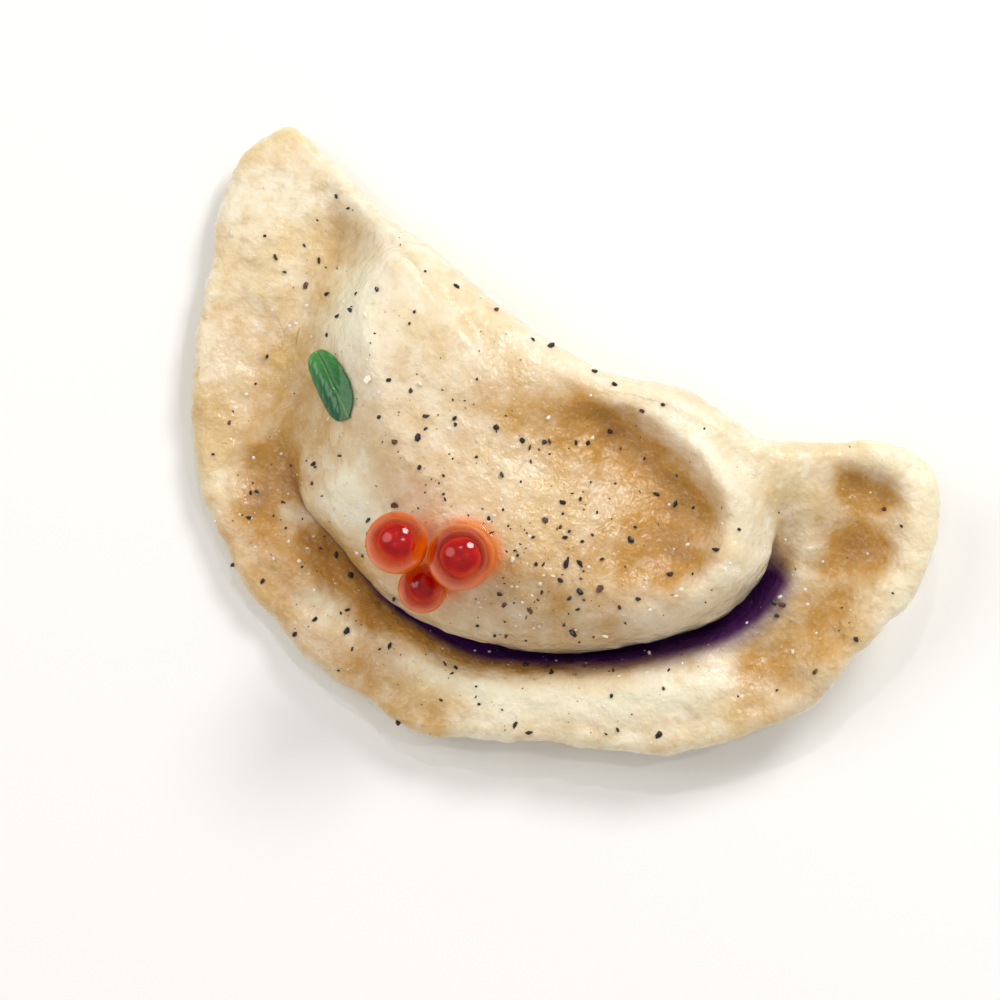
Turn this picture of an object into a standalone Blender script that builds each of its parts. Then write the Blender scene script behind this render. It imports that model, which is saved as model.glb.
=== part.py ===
"""One boiled pierogi with three beads of salmon roe and a thyme leaf lying on it.

A round sheet of dough is folded over its filling. The fold runs along +Y, the sealed rim is an arc
round -Y, and the filling stands up between them as the belly. The right corner of the rim is lifted
into an ear. Everything is worked out in millimetres and written in metres, with +Z up, X along the
fold, and the origin in the middle of the footprint on the surface that the pierogi lies on.
"""

import math

import bmesh
import bpy
import numpy as np
from mathutils import Matrix, Vector
from mathutils.bvhtree import BVHTree

MM = 0.001
PIECE_GAP = 0.3  # air left between two pieces that touch

# The sealed rim follows the round sheet of dough that was folded.
SHEET_RADIUS = 41.0
SHEET_CENTRE = (0.0, 17.0)
ARC_START, ARC_SWEEP = 170.0, 203.0  # degrees, from the left corner round the front to the ear
# Finger marks along the rim: angle in degrees, width in degrees, how far the edge stands out.
RIM_WAVES = [
    (183, 9, 1.0),
    (198, 10, -0.8),
    (229, 5, 1.0),
    (242, 4, 1.3),
    (258, 8, 0.7),
    (276, 6, 1.4),
    (294, 11, -1.7),
    (325, 9, 1.0),
    (376, 11, -4.2),
]
# The fold is a shallow bow: its lowest point, its curve, and the bumps along it (x, width, height).
FOLD_LOW = 16.5
FOLD_BOW = 0.0056
FOLD_BUMPS = [(10.5, 5.0, 2.2), (-20.0, 8.0, 1.2), (31.0, 6.0, 2.8)]
FOLD_ENDS = (34.0, -39.0)
CORNER_ROUNDING = 2.0

# The foot of the belly, at equal steps along the outline from the left corner. Along the fold there
# is no foot: there the line is the crest that the sheet rolls over.
BELLY_FOOT = [
    (-27.3, 15.5),
    (-27.8, 10.0),
    (-26.4, 4.0),
    (-23.6, -3.0),
    (-18.7, -8.6),
    (-12.3, -10.9),
    (-5.4, -12.8),
    (1.7, -12.8),
    (8.4, -10.5),
    (14.3, -6.9),
    (19.4, -2.5),
    (23.3, 1.4),
    (25.4, 6.6),
    (24.8, 11.6),
    (20.4, 15.0),
    (11.5, 16.2),
    (0.5, 13.6),
    (-10.0, 14.2),
    (-19.0, 16.4),
    (-25.0, 18.2),
]
BELLY_CENTRE = (-1.5, 3.5)

# Cross-sections of the dough at shares of the way round the outline: the height of the rim's lip,
# of the crease at the belly's foot and of the belly's widest point, the belly's overhang, how far
# in its top starts to round down, how gently that slope runs out (0 a round side, 1 a slope),
# whether the section ends in the rim (0) or in the rolled fold (1), and how far from the foot the
# rim has climbed to its lip. In the fold the lip is the outermost point of the roll, and the
# widest point is its crest.
SECTIONS = [
    (0.00, 4.8, 5.1, 5.2, 0.0, 7.5, 0.8, 0.0, 12.0),
    (0.07, 4.0, 4.3, 4.4, 0.0, 8.5, 0.8, 0.0, 12.0),
    (0.14, 3.6, 3.9, 4.2, 0.0, 11.0, 0.8, 0.0, 10.0),
    (0.22, 3.5, 2.6, 5.0, 0.5, 12.0, 0.5, 0.0, 6.0),
    (0.30, 4.4, 1.9, 6.2, 1.2, 11.0, 0.3, 0.0, 5.5),
    (0.36, 5.8, 1.8, 7.2, 1.7, 9.0, 0.2, 0.0, 5.5),
    (0.43, 6.8, 1.8, 8.2, 1.9, 7.5, 0.1, 0.0, 5.5),
    (0.50, 7.8, 1.8, 9.2, 2.3, 6.5, 0.0, 0.0, 5.6),
    (0.55, 8.8, 2.4, 9.8, 2.5, 5.5, 0.0, 0.0, 5.8),
    (0.59, 9.8, 4.6, 10.6, 1.8, 5.5, 0.2, 0.0, 4.8),
    (0.63, 10.8, 9.6, 12.0, 0.3, 6.0, 0.7, 0.0, 4.5),
    (0.67, 11.8, 13.0, 13.8, 0.0, 6.0, 0.9, 0.1, 5.0),
    (0.70, 11.6, 15.0, 15.3, 0.0, 5.5, 1.0, 0.5, 6.0),
    (0.75, 10.4, 16.8, 17.0, 0.0, 5.0, 1.0, 1.0, 6.0),
    (0.80, 9.2, 16.8, 17.0, 0.0, 6.0, 1.0, 1.0, 6.0),
    (0.85, 8.0, 16.4, 16.6, 0.0, 7.0, 1.0, 1.0, 6.0),
    (0.90, 6.8, 15.0, 15.2, 0.0, 7.0, 1.0, 0.9, 7.0),
    (0.95, 5.6, 9.4, 9.6, 0.0, 7.0, 0.9, 0.35, 8.0),
]
LIP_THICKNESS = 2.7  # two layers of dough pressed together
SIDE_FULLNESS = 2.2  # exponent of the belly's round side
OVERHANG_MIDDLE = (0.85, 0.45)  # shares of overhang and height halfway down the belly's side
FOLD_UNDERCUT = 6.0  # how far the fold's rounded side runs in under the dumpling

# The top of the belly: its height, then marks on it as (path, width, height).
BELLY_HEIGHT = 17.0
BELLY_MARKS = [
    ([(-12, 5), (0, 1)], 11.0, 1.2),
    ([(-14, 12.0), (-2, 12.4), (8, 15.4), (14, 14.8), (19.5, 12.4), (23.4, 9.0), (23.6, 4.5)], 3.1, 1.7),
    ([(3, 9.8), (8, 10.6), (13, 9.4), (17.4, 7.0), (18.4, 4.0)], 3.0, -2.0),
    ([(6, 7.0), (12, 4.5), (15, 1.0)], 7.5, -2.1),
    ([(-30, 12), (-30, 2), (-24, -8)], 9.0, -5.0),
    ([(-14.5, -7.4), (-12.5, -8.4)], 2.2, 0.9),
    ([(-24.0, -2.5), (-22.0, -5.5)], 2.0, 0.6),
]
# Marks on the rim: the trough's far bank, the ear's ridge, its two dimples and small lumps.
RIM_MARKS = [
    ([(24.0, 20.0), (30.0, 22.0), (35.5, 21.5), (38.0, 17.0), (38.6, 10.0), (36.5, 2.0)], 2.2, 1.3),
    ([(29.4, 19.2), (33.2, 19.6)], 1.9, -1.0),
    ([(33.8, 14.4), (35.4, 14.1)], 2.2, -0.9),
    ([(31.5, 12.0), (33.5, 5.0), (31.0, 0.0)], 3.6, -1.3),
    ([(26.0, 18.0), (28.0, 15.0), (29.6, 12.0)], 1.5, 1.0),
    ([(32.0, 9.0), (32.5, 7.0)], 1.4, 0.6),
    ([(33.0, 3.0), (33.6, 1.0)], 1.4, 0.5),
    ([(-33, 19), (-34, 9)], 3.0, 0.6),
    ([(-29.5, 18), (-28.5, 10)], 2.4, -0.9),
    ([(-37, 14), (-36.5, 4), (-33, -5)], 1.6, 0.5),
    ([(-29.5, 4), (-27, -3)], 1.8, -0.8),
    ([(-24, -9), (-20, -12.5)], 2.4, -0.9),
    ([(-20, -13.5), (-14, -16.5)], 1.8, 0.9),
    ([(0, -18.5), (8, -18.0), (18, -12.5), (26, -6.5)], 2.8, 1.0),
]

# Points that the outline is worked out on before it is divided into stations.
ARC_SAMPLES, FOLD_SAMPLES, OUTLINE_SAMPLES = 400, 200, 1200

# The cage: stations round the outline, and rings over the belly, across the rim and underneath.
STATIONS = 52
BELLY_RINGS = 7
RIM_STEPS = (0.22, 0.50, 0.80)
UNDER_STEPS = (0.35, 0.7)
UNDER_SHARE = 0.86  # how much of the way out to the foot the flat base reaches

# Salmon roe, as (x, y, radius) seen from above, the lowest bead first.
ROE = [(-1.5, -12.5, 2.4), (-5.7, -10.2, 3.0), (0.5, -8.5, 3.2)]
ROE_DROP = 30.0  # height from which each bead comes down until it touches
ROE_STEPS = 200

LEAF_PLACE = (-19.3, 1.3)
LEAF_TURN = -30.0
LEAF_LENGTH, LEAF_WIDTH, LEAF_THICKNESS = 8.2, 3.6, 0.6
LEAF_TAPER = 0.1


def bump(value, middle, width):
    return np.exp(-(((value - middle) / width) ** 2))


def smooth_step(value, low, high):
    share = np.clip((value - low) / (high - low), 0.0, 1.0)
    return share * share * (3.0 - 2.0 * share)


def resample_loop(points, count):
    """The closed line through the points, as points at equal steps along it."""
    closed = np.vstack([points, points[:1]])
    steps = np.linalg.norm(np.diff(closed, axis=0), axis=1)
    along = np.concatenate([[0.0], np.cumsum(steps)])
    wanted = np.arange(count) * along[-1] / count
    columns = [np.interp(wanted, along, closed[:, axis]) for axis in range(points.shape[1])]
    return np.stack(columns, axis=1)


def blur_loop(values, spread):
    """Rounds a closed row of values off, by a Gaussian of that many steps."""
    waves = np.fft.fftfreq(len(values))
    weight = np.exp(-2.0 * (math.pi * waves * spread) ** 2)
    return np.real(np.fft.ifft(np.fft.fft(values, axis=0) * weight[:, None], axis=0))


def closed_spline(places, values, wanted):
    """A smooth closed curve through values that stand at places from 0 to 1, read at wanted."""
    places = np.asarray(places, float)
    values = np.asarray(values, float)
    count = len(places)
    low = (np.searchsorted(places, wanted, side="right") - 1) % count
    rows = [(low + step) % count for step in (-1, 0, 1, 2)]
    spans = [(places[rows[i + 1]] - places[rows[i]]) % 1.0 for i in range(3)]
    share = (((wanted - places[rows[1]]) % 1.0) / spans[1])[:, None]
    before, start, end, after = (values[row] for row in rows)
    slope_in = (end - before) / (spans[0] + spans[1])[:, None] * spans[1][:, None]
    slope_out = (after - start) / (spans[1] + spans[2])[:, None] * spans[1][:, None]
    square, cube = share**2, share**3
    return (
        (2 * cube - 3 * square + 1) * start
        + (cube - 2 * square + share) * slope_in
        + (3 * square - 2 * cube) * end
        + (cube - square) * slope_out
    )


def marks_height(at, marks):
    """The sum of soft ridges and hollows at some points, each along a path of straight runs."""
    x, y = at[:, :1], at[:, 1:]
    total = np.zeros_like(x)
    for path, width, height in marks:
        nearest = np.full_like(x, np.inf)
        for (x0, y0), (x1, y1) in zip(path, path[1:]):
            run = (x1 - x0) ** 2 + (y1 - y0) ** 2
            share = np.clip(((x - x0) * (x1 - x0) + (y - y0) * (y1 - y0)) / run, 0.0, 1.0)
            away = (x - x0 - share * (x1 - x0)) ** 2 + (y - y0 - share * (y1 - y0)) ** 2
            nearest = np.minimum(nearest, away)
        total += height * np.exp(-nearest / width**2)
    return total


def belly_top(at):
    return BELLY_HEIGHT + marks_height(at, BELLY_MARKS)


def outline(count):
    """The outline seen from above, from the left corner round the front and back along the fold."""
    angle = np.linspace(ARC_START, ARC_START + ARC_SWEEP, ARC_SAMPLES)
    radius = SHEET_RADIUS + sum(a * bump(angle, at, w) for at, w, a in RIM_WAVES)
    turn = np.radians(angle)
    rim_x = SHEET_CENTRE[0] + radius * np.cos(turn)
    rim_y = SHEET_CENTRE[1] + radius * np.sin(turn)
    fold_x = np.linspace(FOLD_ENDS[0], FOLD_ENDS[1], FOLD_SAMPLES)
    fold_y = FOLD_LOW + FOLD_BOW * fold_x**2 + sum(a * bump(fold_x, at, w) for at, w, a in FOLD_BUMPS)
    loop = np.stack([np.concatenate([rim_x, fold_x]), np.concatenate([rim_y, fold_y])], axis=1)
    dense = resample_loop(loop, OUTLINE_SAMPLES)
    per_step = np.linalg.norm(dense[1] - dense[0])
    return resample_loop(blur_loop(dense, CORNER_ROUNDING / per_step), count)


def inward_normals(loop):
    along = np.roll(loop, -1, axis=0) - np.roll(loop, 1, axis=0)
    along /= np.linalg.norm(along, axis=1)[:, None]
    return np.stack([-along[:, 1], along[:, 0]], axis=1)


def dough_rings():
    """The dough's surface as rings of points from the top of the belly, over the rim and edge, and
    back underneath to the middle of the flat base. The first and last ring are single points."""
    share = np.arange(STATIONS) / STATIONS
    edge = outline(STATIONS)
    inward = inward_normals(edge)
    foot_places = np.arange(len(BELLY_FOOT)) / len(BELLY_FOOT)
    foot = closed_spline(foot_places, BELLY_FOOT, share)
    table = np.array(SECTIONS)
    columns = closed_spline(table[:, 0], table[:, 1:], share).T
    lip, crease, widest, overhang, rounding, gentle, fold, climbed = columns[:, :, None]
    fold = np.clip(fold, 0.0, 1.0)
    overhang = np.maximum(overhang, 0.0)

    outward = (edge - foot) / np.linalg.norm(edge - foot, axis=1)[:, None]
    centre = np.array(BELLY_CENTRE)
    belly_end = foot + outward * overhang

    rings = []
    for step in range(1, BELLY_RINGS + 1):
        at = centre + (belly_end - centre) * math.sin(0.5 * math.pi * step / BELLY_RINGS)
        inside = np.linalg.norm(belly_end - at, axis=1)[:, None]
        top = belly_top(at)
        climb = np.clip(inside / rounding, 0.0, 1.0)
        round_side = np.sqrt(1.0 - (1.0 - climb) ** SIDE_FULLNESS)
        slope = smooth_step(climb, 0.0, 1.0)
        rise = round_side * (1.0 - gentle) + slope * gentle
        rings.append((at, widest + (top - widest) * rise))

    # The rim: under the belly's overhang to the crease, out to the lip, round the edge and back.
    half = LIP_THICKNESS / 2.0
    lip_at = edge + inward * half
    under_at = centre + (foot - centre) * UNDER_SHARE
    side_out, side_up = OVERHANG_MIDDLE
    rim = [
        (foot + outward * overhang * side_out, crease + (widest - crease) * side_up),
        (foot, crease),
    ]
    rim_width = np.linalg.norm(lip_at - foot, axis=1)[:, None]
    climb_at_lip = smooth_step(rim_width / climbed, 0.0, 1.0)
    for reach in (*RIM_STEPS, 1.0):
        at = foot + (lip_at - foot) * reach
        rise = smooth_step(reach * rim_width / climbed, 0.0, 1.0) / climb_at_lip
        rim.append((at, crease + (lip - crease) * rise + marks_height(at, RIM_MARKS)))
    lip_height = rim[-1][1]
    rim.append((edge, lip_height - half))
    for reach in (0.0, *UNDER_STEPS, 1.0):
        at = lip_at + (under_at - lip_at) * reach
        rim.append((at, (lip_height - LIP_THICKNESS) * (1.0 - reach) ** 2))

    # The fold: a quarter turn over the roll to the edge, then a quarter turn in underneath.
    over = 3 + len(RIM_STEPS) + 1
    for number, (rim_at, rim_height) in enumerate(rim, start=1):
        if number <= over:
            turn = 0.5 * math.pi * number / over
            fold_at = foot + (edge - foot) * math.sin(turn)
            fold_height = lip + (widest - lip) * math.cos(turn)
        else:
            turn = 0.5 * math.pi * (number - over) / (len(rim) - over)
            fold_at = edge + inward * FOLD_UNDERCUT * (1.0 - math.cos(turn))
            fold_height = lip * (1.0 - math.sin(turn))
        rings.append((rim_at * (1.0 - fold) + fold_at * fold,
                      rim_height * (1.0 - fold) + fold_height * fold))
    rings.append(((centre + rings[-1][0]) / 2.0, np.zeros_like(lip)))

    crown = belly_top(centre[None, :])[0, 0]
    first = np.array([[*centre, crown]])
    last = np.array([[*centre, 0.0]])
    return [first] + [np.hstack(ring) for ring in rings] + [last]


def material(name, colour, roughness):
    made = bpy.data.materials.new(name)
    made.use_nodes = True
    shader = made.node_tree.nodes["Principled BSDF"]
    shader.inputs["Base Color"].default_value = (*colour, 1.0)
    shader.inputs["Roughness"].default_value = roughness
    shader.inputs["Metallic"].default_value = 0.0
    made.diffuse_color = (*colour, 1.0)
    return made


def add_object(name, mesh, look, collection):
    made = bpy.data.objects.new(name, mesh)
    mesh.materials.append(look)
    mesh.shade_smooth()
    collection.objects.link(made)
    return made


def make_dough(collection):
    """The folded sheet and its filling as one solid: a loft of rings, rounded by one subdivision."""
    rings = dough_rings()
    body = bmesh.new()
    rows = [[body.verts.new(Vector(point) * MM) for point in ring] for ring in rings]
    for upper, lower in zip(rows, rows[1:]):
        for i in range(STATIONS):
            j = (i + 1) % STATIONS
            if len(upper) == 1:
                body.faces.new((upper[0], lower[i], lower[j]))
            elif len(lower) == 1:
                body.faces.new((upper[i], lower[0], upper[j]))
            else:
                body.faces.new((upper[i], lower[i], lower[j], upper[j]))
    mesh = bpy.data.meshes.new("dough")
    body.to_mesh(mesh)
    body.free()
    look = material("boiled_dough", (0.80, 0.68, 0.48), 0.38)
    dough = add_object("dough", mesh, look, collection)
    rounding = dough.modifiers.new("rounding", "SUBSURF")
    rounding.levels = 1
    rounding.render_levels = 1
    return dough


def surface_of(dough):
    bpy.context.view_layer.update()
    return BVHTree.FromObject(dough, bpy.context.evaluated_depsgraph_get())


def centre_on_origin(dough):
    """Moves the mesh so that the rounded dough's footprint is centred and its base is at z = 0."""
    bpy.context.view_layer.update()
    shape = dough.evaluated_get(bpy.context.evaluated_depsgraph_get())
    corners = np.array(shape.bound_box)
    low, high = corners.min(axis=0), corners.max(axis=0)
    shift = Vector((-(low[0] + high[0]) / 2.0, -(low[1] + high[1]) / 2.0, -low[2]))
    dough.data.transform(Matrix.Translation(shift))


def make_roe(surface, collection):
    """Each bead comes straight down until it rests on the dough or on a bead before it."""
    look = material("salmon_roe", (0.80, 0.10, 0.02), 0.08)
    settled = []
    for number, (x, y, radius) in enumerate(ROE, start=1):
        at = Vector((x, y, ROE_DROP)) * MM
        clear = (radius + PIECE_GAP) * MM
        for _ in range(ROE_STEPS):
            room = surface.find_nearest(at)[3] - clear
            for other, other_radius in settled:
                room = min(room, (at - other).length - other_radius - clear)
            if room < 0.001 * MM:
                break
            at.z -= room
        settled.append((at, radius * MM))
        ball = bmesh.new()
        bmesh.ops.create_uvsphere(ball, u_segments=16, v_segments=10, radius=radius * MM)
        mesh = bpy.data.meshes.new(f"roe_{number}")
        ball.to_mesh(mesh)
        ball.free()
        bead = add_object(f"roe_{number}", mesh, look, collection)
        bead.location = at


def make_leaf(surface, collection):
    """A thyme leaf: a flat ellipsoid with a pointed tip, lying on the slope of the belly."""
    blade = bmesh.new()
    bmesh.ops.create_uvsphere(blade, u_segments=16, v_segments=8, radius=0.5)
    for vert in blade.verts:
        along = vert.co.x * 2.0
        vert.co.x *= LEAF_LENGTH * MM
        vert.co.y *= LEAF_WIDTH * MM * (1.0 - LEAF_TAPER * along)
        vert.co.z *= LEAF_THICKNESS * MM
    mesh = bpy.data.meshes.new("thyme_leaf")
    blade.to_mesh(mesh)
    blade.free()
    look = material("thyme", (0.02, 0.22, 0.03), 0.35)
    leaf = add_object("thyme_leaf", mesh, look, collection)
    above = Vector((*LEAF_PLACE, ROE_DROP)) * MM
    ground, normal = surface.ray_cast(above, Vector((0.0, 0.0, -1.0)))[:2]
    along = Vector((math.cos(math.radians(LEAF_TURN)), math.sin(math.radians(LEAF_TURN)), 0.0))
    along = (along - normal * along.dot(normal)).normalized()
    turn = Matrix((along, normal.cross(along), normal)).transposed()
    leaf.rotation_euler = turn.to_euler()
    leaf.location = ground + normal * (LEAF_THICKNESS / 2.0 + PIECE_GAP) * MM


def main():
    for old in list(bpy.data.objects):
        bpy.data.objects.remove(old, do_unlink=True)
    collection = bpy.data.collections.new("pierogi")
    bpy.context.scene.collection.children.link(collection)
    dough = make_dough(collection)
    centre_on_origin(dough)
    surface = surface_of(dough)
    make_roe(surface, collection)
    make_leaf(surface, collection)


main()
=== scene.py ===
"""The looks of one boiled pierogi with salmon roe, a thyme leaf, cracked pepper and melted butter."""

import math

import bpy
import numpy as np
from mathutils import Matrix, Vector
from mathutils.bvhtree import BVHTree


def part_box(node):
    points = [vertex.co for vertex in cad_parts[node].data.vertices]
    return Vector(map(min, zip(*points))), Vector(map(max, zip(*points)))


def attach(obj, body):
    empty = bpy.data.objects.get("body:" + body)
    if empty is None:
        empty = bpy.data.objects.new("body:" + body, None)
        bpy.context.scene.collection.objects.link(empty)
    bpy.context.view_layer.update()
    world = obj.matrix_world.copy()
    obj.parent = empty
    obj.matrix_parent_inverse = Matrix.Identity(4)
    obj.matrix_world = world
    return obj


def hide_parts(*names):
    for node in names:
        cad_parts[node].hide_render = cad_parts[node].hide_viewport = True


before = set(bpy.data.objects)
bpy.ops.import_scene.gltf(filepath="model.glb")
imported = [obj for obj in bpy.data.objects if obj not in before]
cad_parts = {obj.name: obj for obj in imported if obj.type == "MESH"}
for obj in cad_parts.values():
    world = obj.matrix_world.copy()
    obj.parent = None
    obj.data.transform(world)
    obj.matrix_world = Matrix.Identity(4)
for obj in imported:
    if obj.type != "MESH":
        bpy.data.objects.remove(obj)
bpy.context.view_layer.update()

# ------------------------------------------------------------------------------------ the dough
# A round sheet of wheat dough, folded over its filling and pressed shut along the rim, then boiled
# until its skin is slippery and slightly see-through. One closed surface: a loft from the top of
# the belly over the rim, round the cut edge and back underneath to the flat base it settled on.
MM = 0.001

# The sealed rim follows the round sheet. Finger marks: angle, width in degrees, how far out.
SHEET_RADIUS = 41.0
SHEET_CENTRE = (0.0, 17.0)
ARC_START, ARC_SWEEP = 170.0, 203.0
RIM_WAVES = [
    (183, 9, 1.0),
    (198, 10, -0.8),
    (229, 5, 1.0),
    (242, 4, 1.3),
    (258, 8, 0.7),
    (276, 6, 1.4),
    (294, 11, -1.7),
    (325, 9, 1.0),
    (376, 11, -4.2),
]
# The fold is a shallow bow: its lowest point, its curve, and the bumps along it (x, width, height).
FOLD_LOW = 16.5
FOLD_BOW = 0.0056
FOLD_BUMPS = [(10.5, 5.0, 2.2), (-20.0, 8.0, 1.2), (31.0, 6.0, 2.8)]
FOLD_ENDS = (34.0, -39.0)
CORNER_ROUNDING = 2.0
EDGE_WOBBLE = 0.22  # the cut edge, softened by boiling, isn't quite even
EDGE_GRAINS = (4.0, 1.6)
ARC_SAMPLES, FOLD_SAMPLES, OUTLINE_SAMPLES = 400, 200, 1200

# The foot of the belly, at equal steps along the outline from the left corner, and along the fold
# the crest that the sheet rolls over.
BELLY_FOOT = [
    (-27.3, 15.5),
    (-27.8, 10.0),
    (-26.4, 4.0),
    (-23.6, -3.0),
    (-18.7, -8.6),
    (-12.3, -10.9),
    (-5.4, -12.8),
    (1.7, -12.8),
    (8.4, -10.5),
    (14.3, -6.9),
    (19.4, -2.5),
    (23.3, 1.4),
    (25.4, 6.6),
    (24.8, 11.6),
    (20.4, 15.0),
    (11.5, 16.2),
    (0.5, 13.6),
    (-10.0, 14.2),
    (-19.0, 16.4),
    (-25.0, 18.2),
]
BELLY_CENTRE = (-1.5, 3.5)

# Sections at shares of the way round: the heights of lip, crease and widest point, the belly's
# overhang, where its top starts to round down, how gently that runs out, rim (0) or fold (1), how
# far from the foot the rim has climbed to the lip, how soft the section is, and how far out from
# under the belly the rim is painted dark, as painted shade, in millimetres.
SECTIONS = [
    (0.00, 4.8, 5.1, 5.2, 0.0, 7.5, 0.8, 0.0, 12.0, 2.2, 0.0),
    (0.07, 4.0, 4.3, 4.4, 0.0, 8.5, 0.8, 0.0, 12.0, 2.2, 0.0),
    (0.14, 3.6, 3.9, 4.2, 0.0, 11.0, 0.8, 0.0, 10.0, 2.0, 0.0),
    (0.22, 3.5, 2.6, 5.0, 0.5, 12.0, 0.5, 0.0, 6.0, 1.1, 0.0),
    (0.30, 4.4, 1.9, 6.2, 1.2, 11.0, 0.3, 0.0, 5.5, 0.45, 0.8),
    (0.36, 5.8, 1.8, 7.2, 1.7, 9.0, 0.2, 0.0, 5.5, 0.4, 1.0),
    (0.43, 6.8, 1.8, 8.2, 1.9, 7.5, 0.1, 0.0, 5.5, 0.4, 2.0),
    (0.50, 7.8, 1.8, 9.2, 2.1, 6.5, 0.0, 0.0, 5.6, 0.4, 3.4),
    (0.55, 8.8, 2.2, 9.8, 1.7, 5.5, 0.0, 0.0, 5.8, 0.4, 4.2),
    (0.59, 9.8, 4.2, 10.6, 1.2, 5.5, 0.2, 0.0, 4.8, 0.6, 3.4),
    (0.63, 10.8, 9.6, 12.0, 0.3, 6.0, 0.7, 0.0, 4.5, 1.0, 0.4),
    (0.67, 11.8, 13.0, 13.8, 0.0, 6.0, 0.9, 0.1, 5.0, 1.2, 0.0),
    (0.70, 11.6, 15.0, 15.3, 0.0, 5.5, 1.0, 0.5, 6.0, 0.9, 0.0),
    (0.75, 10.4, 16.8, 17.0, 0.0, 5.0, 1.0, 1.0, 6.0, 0.6, 0.0),
    (0.80, 9.2, 16.8, 17.0, 0.0, 6.0, 1.0, 1.0, 6.0, 0.8, 0.0),
    (0.85, 8.0, 16.4, 16.6, 0.0, 7.0, 1.0, 1.0, 6.0, 2.0, 0.0),
    (0.90, 6.8, 15.0, 15.2, 0.0, 7.0, 1.0, 0.9, 7.0, 2.8, 0.0),
    (0.95, 5.6, 9.4, 9.6, 0.0, 7.0, 0.9, 0.35, 8.0, 3.2, 0.0),
]
SIDE_FULLNESS = 2.2  # how squarely the belly's side turns down
LIP_THICKNESS = 2.7
FOLD_UNDERCUT = 6.0
UNDER_SHARE = 0.86
DEEP_OVERHANG = 1.2  # an overhang from which the crevice below it is painted fully dark, as painted shade
# the least reach of the painted shade out from under the belly, in millimetres
LEAST_DARK = 0.3
SKIN_SOFTNESS = 0.35  # no bend in the skin is sharper than this
FOOT_AT, FOOT_SPREAD = 12.0, 34.0  # rings past the belly's edge where a section's softness acts

# Soft ridges and hollows, as (path, width, height), on the belly and on the rim.
BELLY_HEIGHT = 17.0
BELLY_MARKS = [
    ([(-12, 5), (0, 1)], 11.0, 1.2),
    ([(-4, 13.4), (8, 15.4), (14, 14.8), (19.5, 12.4), (23.4, 9.0), (23.6, 4.5)], 3.1, 1.6),
    ([(7, 10.6), (13, 9.4), (17.4, 7.0), (18.4, 4.0)], 3.4, -1.7),
    ([(4, 7.6), (12, 4.5), (15, 1.0)], 7.5, -1.9),
    ([(-31, 14), (-31, 2), (-24, -9)], 9.5, -3.6),
    ([(-14.5, -7.4), (-12.5, -8.4)], 2.2, 0.9),
    ([(-24.0, -2.5), (-22.0, -5.5)], 2.0, 0.6),
]
RIM_MARKS = [
    ([(24.0, 20.0), (30.0, 22.0), (35.5, 21.5), (38.0, 17.0), (38.6, 10.0), (36.5, 2.0)], 2.2, 1.3),
    ([(29.4, 19.2), (33.2, 19.6)], 1.9, -1.0),
    ([(33.8, 14.4), (35.4, 14.1)], 2.2, -0.9),
    ([(31.5, 12.0), (33.5, 5.0), (31.0, 0.0)], 3.6, -1.3),
    ([(26.0, 18.0), (28.0, 15.0), (29.6, 12.0)], 1.5, 1.0),
    ([(32.0, 9.0), (32.5, 7.0)], 1.4, 0.6),
    ([(33.0, 3.0), (33.6, 1.0)], 1.4, 0.5),
    ([(-33, 19), (-34, 9)], 3.0, 0.6),
    ([(-29.5, 18), (-28.5, 10)], 2.4, -0.9),
    ([(-37, 14), (-36.5, 4), (-33, -5)], 1.6, 0.5),
    ([(-29.5, 4), (-27, -3)], 1.8, -0.8),
    ([(-24, -9), (-20, -12.5)], 2.4, -0.9),
    ([(-20, -13.5), (-14, -16.5)], 1.8, 0.9),
    ([(0, -18.5), (8, -18.0), (18, -12.5), (26, -6.5)], 2.8, 1.0),
]
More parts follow.
